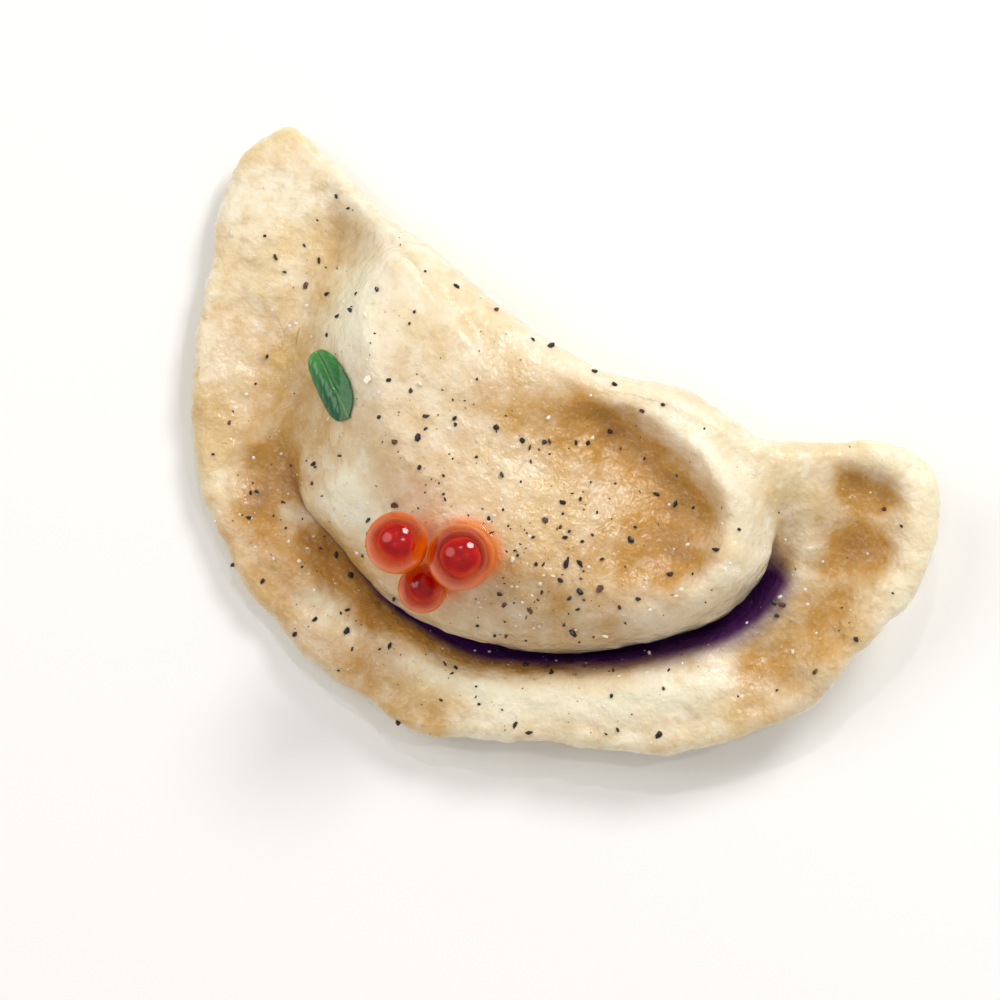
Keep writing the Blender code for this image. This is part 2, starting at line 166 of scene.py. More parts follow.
# Where butter has soaked in and stained the dough ochre, as (path, width, strength). The stronger
# marks in the valley under the ridge, the ear's dimples and bowl, and the trough and crease round the
# belly are painted shade as well. Marks below zero, on the ridge, the lip, the ear's top, the left
# slope and the crumbs, are painted light and make the skin cream.
BUTTER_STAINS_AND_PAINTED_LIGHT = [
    ([(3, 11.4), (8, 11.6), (13, 10.4), (17.2, 8.2), (18.8, 4.5)], 3.0, 0.85),
    ([(-4, 8.5), (4, 8.0), (12, 5.0)], 5.0, 0.6),
    ([(-4, 14.0), (8, 16.0), (16, 14.6), (22.5, 11.0), (25.0, 6.0)], 2.4, -0.3),
    ([(2, -19.0), (10, -17.0), (20, -11.5), (27, -5.5)], 2.6, -0.7),
    ([(30, 23), (37, 21), (39, 12)], 2.4, -0.4),
    ([(28, 12), (30, 9)], 1.8, -0.4),
    ([(29.6, 19.2), (33.0, 19.6)], 2.2, 1.15),
    ([(33.8, 14.4), (35.4, 14.1)], 2.6, 0.85),
    ([(31, 13), (34, 4), (31, -3)], 4.5, 0.9),
    ([(25, -5), (16, -11.5), (4, -16.0), (-8, -16.5)], 2.0, 0.55),
    ([(-24, -8), (-21, -12.5), (-14, -14.2), (-7, -16.5)], 3.0, 0.75),
    ([(-22, -16), (-8, -21.5), (4, -22.5)], 3.4, 0.75),
    ([(-33, 2), (-30, -6)], 5.0, 0.35),
    ([(-22, -2), (-8, -3), (6, -3), (16, 0)], 5.5, 0.42),
    ([(10, -3), (16, -1)], 4.0, 0.3),
    ([(-14, 6), (2, 7)], 5.0, 0.2),
    ([(-20, -8.5), (-12, -11.6), (8, -11.5), (16, -6.5)], 2.6, 0.6),
    ([(-14.5, -7.4), (-12.0, -8.6)], 2.4, -1.1),
    ([(-19.0, -11.4), (-17.4, -11.6)], 1.9, -1.0),
    ([(-11.4, -18.2), (-8.2, -18.8)], 2.0, -0.9),
    ([(-27, 1.0), (-25, -3)], 2.2, 0.1),
    ([(14.5, 4.2), (17, 1.5)], 2.8, 0.6),
    ([(2, -7.5), (9, -6.5)], 3.0, 0.45),
    ([(-22.4, -12.0), (-21.2, -12.6)], 1.6, 1.0),
    ([(-16.0, -12.8), (-14.6, -12.8)], 1.4, 0.6),
    ([(-24, 12), (-22, 7.5)], 2.6, -0.8),
]
# Painted shade, softer, on the rim beside the crevice.
CREVICE_SHADE = [([(27.4, 7.0), (26.4, 0.5), (22.5, -5.4), (14.0, -10.6)], 1.9, 0.42)]
# The hollows, where the skin is painted a deeper ochre, partly for butter gathered there and partly
# as painted shade, while the rises are painted paler as painted light: how wide a hollow counts, and
# how much.
HOLLOWS = [(1.6, 0.6), (4.0, 0.4)]
HOLLOW_CELL = 0.4
HOLLOW_MARGIN = 4.0

STATIONS = 440
BELLY_RINGS = 64
OVERHANG_RINGS = 8
RIM_RINGS = 40
EDGE_RINGS = 9
UNDER_RINGS = 26
ABOVE_ALL = 40.0

# Lumps and crumbs of dough that stuck to the skin, as (path, width, height).
DOUGH_CRUMBS = [
    ([(-19.0, -11.4), (-17.4, -11.6)], 2.0, 0.55),
    ([(-11.4, -18.2), (-8.2, -18.8)], 2.2, 0.55),
    ([(-14.4, -7.6), (-11.8, -8.6)], 2.0, 0.3),
]
CRUMB_GRAIN = 1.4
# Relief over the smooth form: grain in millimetres, height, and share of it that the rim takes.
RELIEF = [(9.0, 0.34, 0.7), (3.6, 0.21, 1.2), (1.7, 0.13, 1.4), (0.9, 0.075, 1.3)]


def bump(value, middle, width):
    return np.exp(-(((value - middle) / width) ** 2))


def smooth_step(value, low, high):
    share = np.clip((value - low) / (high - low), 0.0, 1.0)
    return share * share * (3.0 - 2.0 * share)


def grain(points, size, seed):
    """Soft random lumps of that size at some points, from -1 to 1."""
    places = points / size + seed * 17.31
    cell = np.floor(places).astype(np.int64)
    share = places - cell
    share = share * share * (3.0 - 2.0 * share)
    total = np.zeros(len(points))
    for corner in range(8):
        step = np.array([corner & 1, corner >> 1 & 1, corner >> 2 & 1])
        key = (cell + step) @ np.array([73856093, 19349663, 83492791]) + seed * 1013
        key = (key ^ (key >> 13)) * 1274126177 & 0x7FFFFFFF
        key = (key ^ (key >> 15)) & 0xFFFF
        weight = np.prod(np.where(step == 1, share, 1.0 - share), axis=1)
        total += weight * (key / 32767.5 - 1.0)
    return total


def resample_loop(points, count):
    """The closed line through the points, as points at equal steps along it."""
    closed = np.vstack([points, points[:1]])
    steps = np.linalg.norm(np.diff(closed, axis=0), axis=1)
    along = np.concatenate([[0.0], np.cumsum(steps)])
    wanted = np.arange(count) * along[-1] / count
    columns = [np.interp(wanted, along, closed[:, axis]) for axis in range(points.shape[1])]
    return np.stack(columns, axis=1)


def blur_loop(values, spread):
    """Rounds a closed row of values off, by a Gaussian of that many steps."""
    waves = np.fft.fftfreq(len(values))
    weight = np.exp(-2.0 * (math.pi * waves * spread) ** 2)
    return np.real(np.fft.ifft(np.fft.fft(values, axis=0) * weight[:, None], axis=0))


def closed_spline(places, values, wanted):
    """A smooth closed curve through values that stand at places from 0 to 1, read at wanted."""
    places = np.asarray(places, float)
    values = np.asarray(values, float)
    count = len(places)
    low = (np.searchsorted(places, wanted, side="right") - 1) % count
    rows = [(low + step) % count for step in (-1, 0, 1, 2)]
    spans = [(places[rows[i + 1]] - places[rows[i]]) % 1.0 for i in range(3)]
    share = (((wanted - places[rows[1]]) % 1.0) / spans[1])[:, None]
    before, start, end, after = (values[row] for row in rows)
    slope_in = (end - before) / (spans[0] + spans[1])[:, None] * spans[1][:, None]
    slope_out = (after - start) / (spans[1] + spans[2])[:, None] * spans[1][:, None]
    square, cube = share**2, share**3
    return (
        (2 * cube - 3 * square + 1) * start
        + (cube - 2 * square + share) * slope_in
        + (3 * square - 2 * cube) * end
        + (cube - square) * slope_out
    )


def marks_height(at, marks):
    """The sum of soft marks at some points, each mark along a path of straight runs."""
    x, y = at[:, :1], at[:, 1:2]
    total = np.zeros_like(x)
    for path, width, height in marks:
        nearest = np.full_like(x, np.inf)
        for (x0, y0), (x1, y1) in zip(path, path[1:]):
            run = (x1 - x0) ** 2 + (y1 - y0) ** 2
            share = np.clip(((x - x0) * (x1 - x0) + (y - y0) * (y1 - y0)) / run, 0.0, 1.0)
            away = (x - x0 - share * (x1 - x0)) ** 2 + (y - y0 - share * (y1 - y0)) ** 2
            nearest = np.minimum(nearest, away)
        total += height * np.exp(-nearest / width**2)
    return total


def belly_top(at):
    return BELLY_HEIGHT + marks_height(at, BELLY_MARKS)


def outline(count):
    """The outline seen from above, from the left corner round the front and back along the fold."""
    angle = np.linspace(ARC_START, ARC_START + ARC_SWEEP, ARC_SAMPLES)
    radius = SHEET_RADIUS + sum(a * bump(angle, at, w) for at, w, a in RIM_WAVES)
    turn = np.radians(angle)
    rim_x = SHEET_CENTRE[0] + radius * np.cos(turn)
    rim_y = SHEET_CENTRE[1] + radius * np.sin(turn)
    fold_x = np.linspace(FOLD_ENDS[0], FOLD_ENDS[1], FOLD_SAMPLES)
    fold_y = FOLD_LOW + FOLD_BOW * fold_x**2 + sum(a * bump(fold_x, at, w) for at, w, a in FOLD_BUMPS)
    loop = np.stack([np.concatenate([rim_x, fold_x]), np.concatenate([rim_y, fold_y])], axis=1)
    dense = resample_loop(loop, OUTLINE_SAMPLES)
    per_step = np.linalg.norm(dense[1] - dense[0])
    return resample_loop(blur_loop(dense, CORNER_ROUNDING / per_step), count)


def dough_sections():
    """The dough's surface as an array of rings by stations by x, y, z; how deep in the crevice under
    the belly each point is, which sets its painted shade; and how far out on the rim each point is."""
    share = np.arange(STATIONS) / STATIONS
    edge = outline(STATIONS)
    along = np.roll(edge, -1, axis=0) - np.roll(edge, 1, axis=0)
    along /= np.linalg.norm(along, axis=1)[:, None]
    inward = np.stack([-along[:, 1], along[:, 0]], axis=1)
    at_edge = np.hstack([edge, np.zeros((STATIONS, 1))])
    wobble = grain(at_edge, EDGE_GRAINS[0], 3) + 0.6 * grain(at_edge, EDGE_GRAINS[1], 4)
    edge = edge + inward * EDGE_WOBBLE * wobble[:, None]

    foot = closed_spline(np.arange(len(BELLY_FOOT)) / len(BELLY_FOOT), BELLY_FOOT, share)
    table = np.array(SECTIONS)
    columns = closed_spline(table[:, 0], table[:, 1:], share).T
    lip, crease, widest, overhang, rounding, gentle, fold, climbed, soft, dark = columns[:, :, None]
    fold = np.clip(fold, 0.0, 1.0)
    overhang = np.maximum(overhang, 0.0)
    outward = (edge - foot) / np.linalg.norm(edge - foot, axis=1)[:, None]
    centre = np.array(BELLY_CENTRE)
    belly_end = foot + outward * overhang
    none = np.zeros_like(lip)

    rings, crevice, rim_share = [], [], []
    for step in range(1, BELLY_RINGS + 1):
        at = centre + (belly_end - centre) * math.sin(0.5 * math.pi * step / BELLY_RINGS)
        inside = np.linalg.norm(belly_end - at, axis=1)[:, None]
        top = belly_top(at)
        climb = np.clip(inside / rounding, 0.0, 1.0)
        round_side = np.sqrt(1.0 - (1.0 - climb) ** SIDE_FULLNESS)
        slope = smooth_step(climb, 0.0, 1.0)
        rise = round_side * (1.0 - gentle) + slope * gentle
        rings.append((at, widest + (top - widest) * rise))
        crevice.append(none)
        rim_share.append(none)

    # The rim: under the belly's overhang to the crease, out to the lip, round the edge and back.
    half = LIP_THICKNESS / 2.0
    lip_at = edge + inward * half
    under_at = centre + (foot - centre) * UNDER_SHARE
    depth = np.clip(overhang / DEEP_OVERHANG, 0.0, 1.0)
    rim = []
    for step in range(1, OVERHANG_RINGS + 1):
        turn = 0.5 * math.pi * step / OVERHANG_RINGS
        at = foot + outward * overhang * math.cos(turn)
        rim.append((at, crease + (widest - crease) * (1.0 - math.sin(turn))))
        # Under the overhang the crevice value rises: it paints the gap dark, as painted shade.
        crevice.append(depth * smooth_step(step / OVERHANG_RINGS, 0.1, 0.7))
        rim_share.append(none)
    reach_mm = np.linalg.norm(lip_at - foot, axis=1)[:, None]
    for step in range(1, RIM_RINGS + 1):
        reach = step / RIM_RINGS
        at = foot + (lip_at - foot) * reach
        rise = smooth_step(reach * reach_mm / climbed, 0.0, 1.0)
        rise = rise / smooth_step(reach_mm / climbed, 0.0, 1.0)
        fade = smooth_step(reach, 0.0, 0.25)
        rim.append((at, crease + (lip - crease) * rise + fade * marks_height(at, RIM_MARKS)))
        # Out on the rim the painted shade fades over its reach beyond the overhang.
        dark_mm = overhang + np.maximum(dark, LEAST_DARK)
        crevice.append(depth * np.exp(-((reach * reach_mm / dark_mm) ** 4)))
        rim_share.append(none + smooth_step(reach, 0.1, 0.6))
    lip_height = rim[-1][1]
    for step in range(1, EDGE_RINGS + 1):
        turn = math.pi * step / (EDGE_RINGS + 1)
        at = lip_at + (edge - lip_at) * math.sin(turn)
        rim.append((at, lip_height - half * (1.0 - math.cos(turn))))
        crevice.append(none)
        rim_share.append(none + 1.0)
    for step in range(UNDER_RINGS + 1):
        reach = step / UNDER_RINGS
        at = lip_at + (under_at - lip_at) * reach
        rim.append((at, (lip_height - LIP_THICKNESS) * (1.0 - reach) ** 2))
        crevice.append(none)
        rim_share.append(none + 1.0 - reach)

    # The fold: a quarter turn over the roll to the edge, then a quarter turn in underneath.
    over = OVERHANG_RINGS + RIM_RINGS + EDGE_RINGS // 2
    for number, (rim_at, rim_height) in enumerate(rim, start=1):
        if number <= over:
            turn = 0.5 * math.pi * number / over
            fold_at = foot + (edge - foot) * math.sin(turn)
            fold_height = lip + (widest - lip) * math.cos(turn)
        else:
            turn = 0.5 * math.pi * (number - over) / (len(rim) - over)
            fold_at = edge + inward * FOLD_UNDERCUT * (1.0 - math.cos(turn))
            fold_height = lip * (1.0 - math.sin(turn))
        rings.append((rim_at * (1.0 - fold) + fold_at * fold,
                      rim_height * (1.0 - fold) + fold_height * fold))
    base = rings[-1][0]
    for reach in (0.8, 0.6, 0.4, 0.2):
        rings.append((centre + (base - centre) * reach, none))
        crevice.append(none)
        rim_share.append(none)
    surface = np.array([np.hstack(ring) for ring in rings])
    rim_share = np.array(rim_share)[:, :, 0] * (1.0 - fold[:, 0])
    near_foot = bump(np.arange(len(rings)), BELLY_RINGS + FOOT_AT, FOOT_SPREAD)[:, None]
    spread = SKIN_SOFTNESS + np.maximum(soft[:, 0] - SKIN_SOFTNESS, 0.0) * near_foot
    return soften(surface, spread), np.array(crevice)[:, :, 0], rim_share


def soften(surface, spread):
    """Rounds every section off along its own line, by a spread in millimetres at each point: three
    steps of diffusion, each solved for all points of a section at once."""
    gap = np.linalg.norm(np.diff(surface, axis=0), axis=2) + 1e-3
    before = np.concatenate([gap[:1], gap])
    after = np.concatenate([gap, gap[-1:]])
    for _ in range(3):
        pull = spread**2 / 3.0 / (before + after)
        low_side, high_side = pull / before, pull / after
        low_side[0] = high_side[0] = low_side[-1] = high_side[-1] = 0.0
        middle = 1.0 + low_side + high_side
        solved = surface.copy()
        carried = np.zeros_like(middle)
        for row in range(len(surface)):
            if row:
                middle[row] -= low_side[row] * carried[row - 1]
                solved[row] += low_side[row][:, None] * solved[row - 1]
            carried[row] = high_side[row] / middle[row]
            solved[row] /= middle[row][:, None]
        for row in range(len(surface) - 2, -1, -1):
            solved[row] += carried[row][:, None] * solved[row + 1]
        surface = solved
    return surface


def section_normals(surface):
    round_it = np.roll(surface, -1, axis=1) - np.roll(surface, 1, axis=1)
    down_it = np.gradient(surface, axis=0)
    normal = np.cross(down_it, round_it)
    return normal / np.maximum(np.linalg.norm(normal, axis=2), 1e-9)[:, :, None]


def add_mesh(name, points, faces, smooth=True):
    """A mesh object from points in metres."""
    mesh = bpy.data.meshes.new(name)
    mesh.from_pydata(np.asarray(points).tolist(), [], faces)
    mesh.update()
    if smooth:
        mesh.shade_smooth()
    made = bpy.data.objects.new(name, mesh)
    bpy.context.scene.collection.objects.link(made)
    return made


def add_values(piece, name, values):
    """A number for each point of a piece, that its material can read."""
    attribute = piece.data.attributes.new(name, "FLOAT", "POINT")
    attribute.data.foreach_set("value", np.asarray(values, dtype=np.float32).ravel())


surface, crevice, rim_share = dough_sections()
normals = section_normals(surface)
smooth_form = surface.copy()
flat_points = surface.reshape(-1, 3)
relief = np.zeros(surface.shape[:2])
for number, (size, height, on_rim) in enumerate(RELIEF):
    lumps = grain(flat_points, size, 11 + number).reshape(relief.shape)
    relief += lumps * height * (1.0 + (on_rim - 1.0) * rim_share)
lumpy = marks_height(flat_points, DOUGH_CRUMBS).reshape(relief.shape)
relief += lumpy * np.maximum(grain(flat_points, CRUMB_GRAIN, 21).reshape(relief.shape) + 0.2, 0.0)
settled = smooth_step(surface[:, :, 2], 0.1, 1.2)
relief *= settled * (1.0 - 0.6 * crevice)
surface = surface + normals * relief[:, :, None]

# The form is fitted to the solid's own footprint, so that both have the same size.
low, high = (np.array(corner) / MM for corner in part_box("dough"))
own_low, own_high = surface.reshape(-1, 3).min(axis=0), surface.reshape(-1, 3).max(axis=0)
stretch = (high - low)[:2] / (own_high - own_low)[:2]
low_corner = low[:2]


def placed(at):
    """Points of the form, moved to where the solid stands."""
    moved = np.array(at, float)
    moved[..., :2] = low_corner + (moved[..., :2] - own_low[:2]) * stretch
    return moved


surface = placed(surface)
surface[:, :, 2] = np.maximum(surface[:, :, 2] - own_low[2], 0.0) + low[2]
normals = section_normals(surface)

ring_count = len(surface)
crown = surface[0].mean(axis=0)
base = surface[-1].mean(axis=0)
points = np.vstack([surface.reshape(-1, 3), crown, base])
top_point, base_point = len(points) - 2, len(points) - 1
faces = []
for ring in range(ring_count - 1):
    for station in range(STATIONS):
        after = (station + 1) % STATIONS
        upper, lower = ring * STATIONS, (ring + 1) * STATIONS
        faces.append((upper + station, lower + station, lower + after, upper + after))
last = (ring_count - 1) * STATIONS
for station in range(STATIONS):
    after = (station + 1) % STATIONS
    faces.append((top_point, station, after))
    faces.append((last + station, base_point, last + after))
dough = add_mesh("dough_skin", points * MM, faces)


def hollow_depth(surface, points, width):
    """How far below its surroundings, that many millimetres wide, the top of a surface lies."""
    corner = surface.reshape(-1, 3).min(axis=0)[:2] - HOLLOW_MARGIN * width
    far_corner = surface.reshape(-1, 3).max(axis=0)[:2] + HOLLOW_MARGIN * width
    size = ((far_corner - corner) / HOLLOW_CELL).astype(int) + 2
    height, hits = np.zeros(size), np.zeros(size)
    top = surface[:BELLY_RINGS + OVERHANG_RINGS + RIM_RINGS].reshape(-1, 3)
    cell = ((top[:, :2] - corner) / HOLLOW_CELL).astype(int)
    np.add.at(height, (cell[:, 0], cell[:, 1]), top[:, 2])
    np.add.at(hits, (cell[:, 0], cell[:, 1]), 1.0)
    filled = (hits > 0.0).astype(float)
    height = height / np.maximum(hits, 1.0)
    waves = [np.fft.fftfreq(count) for count in size]
    waves = waves[0][:, None] ** 2 + waves[1][None, :] ** 2
    weight = np.exp(-2.0 * (math.pi * width / HOLLOW_CELL) ** 2 * waves)
    smooth = np.real(np.fft.ifft2(np.fft.fft2(height) * weight))
    share = np.real(np.fft.ifft2(np.fft.fft2(filled) * weight))
    mean = smooth / np.maximum(share, 0.02)
    inside = smooth_step(share, 0.55, 0.97)
    where = np.clip((points[:, :2] - corner) / HOLLOW_CELL - 0.5, 0.0, np.array(size) - 2.001)
    low = where.astype(int)
    part = where - low
    value = -points[:, 2]
    weight = 0.0
    for step_x, step_y in ((0, 0), (1, 0), (0, 1), (1, 1)):
        by_x = part[:, 0] if step_x else 1.0 - part[:, 0]
        by_y = part[:, 1] if step_y else 1.0 - part[:, 1]
        value = value + mean[low[:, 0] + step_x, low[:, 1] + step_y] * by_x * by_y
        weight = weight + inside[low[:, 0] + step_x, low[:, 1] + step_y] * by_x * by_y
    return value * weight


form_ends = smooth_form[0].mean(axis=0), smooth_form[-1].mean(axis=0)
form = np.vstack([smooth_form.reshape(-1, 3), *form_ends])
film_normals = np.vstack([normals.reshape(-1, 3), (0.0, 0.0, 1.0), (0.0, 0.0, -1.0)])
on_top = smooth_step(film_normals[:, 2], -0.2, 0.3)
hollow = sum(hollow_depth(smooth_form, form, width) / width * share for width, share in HOLLOWS) * on_top
# The hollow value: painted shade in the hollows, together with gathered butter, and painted light on the
# rises.
add_values(dough, "hollow", hollow)
add_values(dough, "butter_stain_and_painted_light", marks_height(form, BUTTER_STAINS_AND_PAINTED_LIGHT)[:, 0] * on_top)
# Painted shade on the rim beside the crevice, joined to the painted shade in the crevice itself.
shade = marks_height(form, CREVICE_SHADE)[:, 0] * smooth_step(form[:, 2], 9.0, 6.0) * on_top
add_values(dough, "crevice", np.maximum(np.append(crevice.ravel(), (0.0, 0.0)), shade))


def colour(code):
    """An sRGB hex colour as linear red, green, blue and alpha."""
    parts = [int(code[i:i + 2], 16) / 255.0 for i in (1, 3, 5)]
    return (*[c / 12.92 if c <= 0.04045 else ((c + 0.055) / 1.055) ** 2.4 for c in parts], 1.0)


def add_node(tree, kind, inputs=None, **settings):
    """A node with its settings, and its inputs set to values or linked to other nodes' outputs."""
    made = tree.nodes.new(kind)
    for name, value in settings.items():
        setattr(made, name, value)
    for socket, value in (inputs or {}).items():
        if isinstance(value, bpy.types.NodeSocket):
            tree.links.new(value, made.inputs[socket])
        else:
            made.inputs[socket].default_value = value
    return made


def new_material(name, **values):
    """A material with a Principled shader whose plain values are set by name."""
    made = bpy.data.materials.new(name)
    made.use_nodes = True
    shader = made.node_tree.nodes["Principled BSDF"]
    for socket, value in values.items():
        shader.inputs[socket.replace("_", " ")].default_value = value
    return made, made.node_tree, shader


def mix_colour(tree, share, first, second):
    made = add_node(tree, "ShaderNodeMix", data_type="RGBA")
    for socket, value in ((0, share), (6, first), (7, second)):
        if isinstance(value, bpy.types.NodeSocket):
            tree.links.new(value, made.inputs[socket])
        else:
            made.inputs[socket].default_value = value
    return made.outputs[2]


def values_of(tree, name):
    """The number that add_values gave to each point under that name."""
    return add_node(tree, "ShaderNodeAttribute", attribute_name=name).outputs["Fac"]


def noise(tree, place, size, detail):
    """Soft noise whose grains are that many millimetres across."""
    inputs = {"Vector": place, "Scale": 1 / (size * MM), "Detail": detail}
    return add_node(tree, "ShaderNodeTexNoise", inputs).outputs["Fac"]


def map_range(tree, value, low, high, to_low=0.0, to_high=1.0):
    inputs = {"Value": value, "From Min": low, "From Max": high, "To Min": to_low, "To Max": to_high}
    return add_node(tree, "ShaderNodeMapRange", inputs, clamp=True).outputs["Result"]


# Boiled wheat dough, wet with butter: light enters the skin a millimetre or two, and the film of
# butter over it shines. Butter that has soaked in turns it ochre, most of all in the hollows, where
# the ochre is partly painted shade. Rises, ridges and the lip are painted paler, as painted light,
# and the gap under the belly is painted dark plum, as painted shade.
boiled_dough, tree, shader = new_material(
    "boiled_dough_with_butter",
    IOR=1.42,
    Subsurface_Weight=0.45,
    Subsurface_Scale=0.0024,
    Coat_Weight=0.8,
    Coat_Roughness=0.06,
    Coat_IOR=1.46,
)
shader.inputs["Subsurface Radius"].default_value = (1.0, 0.76, 0.46)
place = add_node(tree, "ShaderNodeTexCoord").outputs["Object"]
stain_and_painted_light = values_of(tree, "butter_stain_and_painted_light")
painted_crevice_shade = values_of(tree, "crevice")
hollowed = values_of(tree, "hollow")
brined = values_of(tree, "brine")
cloud = noise(tree, place, 7.0, 2.0)
patch = noise(tree, place, 2.6, 4.0)
fleck = noise(tree, place, 1.2, 4.0)
pores_and_painted_glints = noise(tree, place, 0.45, 3.0)
skin = mix_colour(tree, map_range(tree, cloud, 0.38, 0.64), colour("#F5E9CE"), colour("#E9D2A2"))
skin = mix_colour(tree, map_range(tree, patch, 0.5, 0.68, 0.0, 0.45), skin, colour("#DDBF88"))
skin = mix_colour(tree, map_range(tree, patch, 0.46, 0.3, 0.0, 0.6), skin, colour("#FAF2DF"))
skin = mix_colour(tree, map_range(tree, fleck, 0.5, 0.68, 0.0, 0.36), skin, colour("#D2AE6E"))
# Painted light: the rises, where the hollow value is below zero, turn paler cream.
skin = mix_colour(tree, map_range(tree, hollowed, -0.02, -0.25, 0.0, 0.3), skin, colour("#FAF2DF"))
# Painted shade with gathered butter: the hollows add to the ochre stain.
gathered_and_painted_shade = map_range(tree, hollowed, 0.0, 0.45, 0.0, 0.6)
soak_and_painted_light = add_node(tree, "ShaderNodeMath", {0: stain_and_painted_light, 1: gathered_and_painted_shade}, operation="ADD")
ragged = add_node(
    tree,
    "ShaderNodeMath",
    {0: soak_and_painted_light.outputs[0], 1: map_range(tree, patch, 0.3, 0.7, 0.72, 1.25)},
    operation="MULTIPLY",
).outputs[0]
# Painted light: where the marks go below zero, on the ridge, lip, ear top, left slope and crumbs, the skin
# turns cream.
skin = mix_colour(tree, map_range(tree, ragged, -0.05, -0.6, 0.0, 0.9), skin, colour("#FFF6DA"))
# Butter-stain ochre. In the valley, the ear's dimples and bowl and along the trough under the belly it is
# painted shade as well.
skin = mix_colour(tree, map_range(tree, ragged, 0.05, 1.1, 0.0, 0.92), skin, colour("#C08814"))
# Painted shade: the deepest marks, in the trough and crease beside the belly, go brown.
skin = mix_colour(tree, map_range(tree, ragged, 1.1, 1.9, 0.0, 0.5), skin, colour("#96602A"))
# Painted highlight: pale specks over the pores stand in for the glints of the wet skin.
skin = mix_colour(tree, map_range(tree, pores_and_painted_glints, 0.54, 0.7, 0.0, 0.16), skin, colour("#FFFAEE"))
skin = mix_colour(tree, map_range(tree, brined, 0.1, 0.9, 0.0, 0.95), skin, colour("#F08200"))
# Painted shade: the crevice under the belly and the rim beside it turn dark plum.
skin = mix_colour(tree, map_range(tree, painted_crevice_shade, 0.1, 0.75, 0.0, 0.98), skin, colour("#480A60"))
tree.links.new(skin, shader.inputs["Base Color"])
rough = map_range(tree, fleck, 0.3, 0.7, 0.4, 0.58)
tree.links.new(rough, shader.inputs["Roughness"])
pits = add_node(tree, "ShaderNodeTexVoronoi", {"Vector": place, "Scale": 1 / (0.9 * MM)}, feature="SMOOTH_F1")
coarse = add_node(tree, "ShaderNodeBump", {"Height": fleck, "Strength": 0.8, "Distance": 0.34 * MM})
pitted = add_node(
    tree,
    "ShaderNodeBump",
    {"Height": pits.outputs["Distance"], "Strength": 0.5, "Distance": 0.16 * MM, "Normal": coarse.outputs[0]},
)
fine = add_node(
    tree,
    "ShaderNodeBump",
    {"Height": pores_and_painted_glints, "Strength": 0.8, "Distance": 0.14 * MM, "Normal": pitted.outputs[0]},
)
tree.links.new(fine.outputs[0], shader.inputs["Normal"])
tree.links.new(fine.outputs[0], shader.inputs["Coat Normal"])
dough.data.materials.append(boiled_dough)
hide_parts("dough")
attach(dough, "root")
dough_tree = BVHTree.FromPolygons((points * MM).tolist(), faces)

# ------------------------------------------------------------------------------------ the roe
# Three salmon eggs, each a clear orange skin full of oil round a red yolk that is darkest on top.
# They are stuck to the dough with their own brine.
ROE_SWELL = 1.04  # the eggs press against each other and the dough
YOLK_SHARE = 0.5
YOLK_RISE = 0.16

# The skin: clear on top, where the red yolk shows through it, and cloudy orange lower down with oil.
roe_membrane, tree, shader = new_material(
    "roe_membrane",
    Base_Color=colour("#FF8018"),
    Roughness=0.04,
    IOR=1.37,
    Subsurface_Weight=0.4,
    Subsurface_Scale=0.0015,
    Coat_Weight=0.3,
    Coat_Roughness=0.02,
)
shader.inputs["Subsurface Radius"].default_value = (1.0, 0.5, 0.1)
low_down = values_of(tree, "heart")
tree.links.new(map_range(tree, low_down, 0.2, 0.8, 0.3, 1.0), shader.inputs["Transmission Weight"])

# The yolk: soft and dull crimson, and paler orange where it fades into the oil.
roe_yolk, tree, shader = new_material(
    "roe_yolk",
    Roughness=0.6,
    IOR=1.2,
    Subsurface_Weight=0.5,
    Subsurface_Scale=0.0012,
)
shader.inputs["Subsurface Radius"].default_value = (1.0, 0.3, 0.1)
place = add_node(tree, "ShaderNodeTexCoord").outputs["Object"]
cloudy = noise(tree, place, 1.2, 2.0)
heart = values_of(tree, "heart")
crimson = mix_colour(tree, map_range(tree, cloudy, 0.35, 0.7), colour("#B8001E"), colour("#D80A26"))
yolk_tone = mix_colour(tree, map_range(tree, heart, 0.62, 0.35), crimson, colour("#EE3A18"))
yolk_tone = mix_colour(tree, map_range(tree, heart, 0.42, 0.1), yolk_tone, colour("#FF9A3C"))
tree.links.new(yolk_tone, shader.inputs["Base Color"])


def ball(name, centre, radius, unevenness, seed, rows=32, columns=48):
    """A slightly uneven ball, in millimetres."""
    points, faces = [(0.0, 0.0, 1.0)], []
    for row in range(1, rows):
        turn = math.pi * row / rows
        for column in range(columns):
            around = 2.0 * math.pi * column / columns
            ring_x, ring_y = math.cos(around), math.sin(around)
            points.append((math.sin(turn) * ring_x, math.sin(turn) * ring_y, math.cos(turn)))
    points.append((0.0, 0.0, -1.0))
    for column in range(columns):
        after = (column + 1) % columns
        faces.append((0, 1 + column, 1 + after))
        for row in range(rows - 2):
            upper, lower = 1 + row * columns, 1 + (row + 1) * columns
            faces.append((upper + column, lower + column, lower + after, upper + after))
        bottom = 1 + (rows - 2) * columns
        faces.append((bottom + column, len(points) - 1, bottom + after))
    points = np.array(points)
    size = radius * (1.0 - unevenness + unevenness * grain(points, 0.7, seed))
    made = add_mesh(name, (np.array(centre) + points * size[:, None]) * MM, faces)
    add_values(made, "heart", points[:, 2] + 0.16 * grain(points, 0.5, seed + 50))
    return made


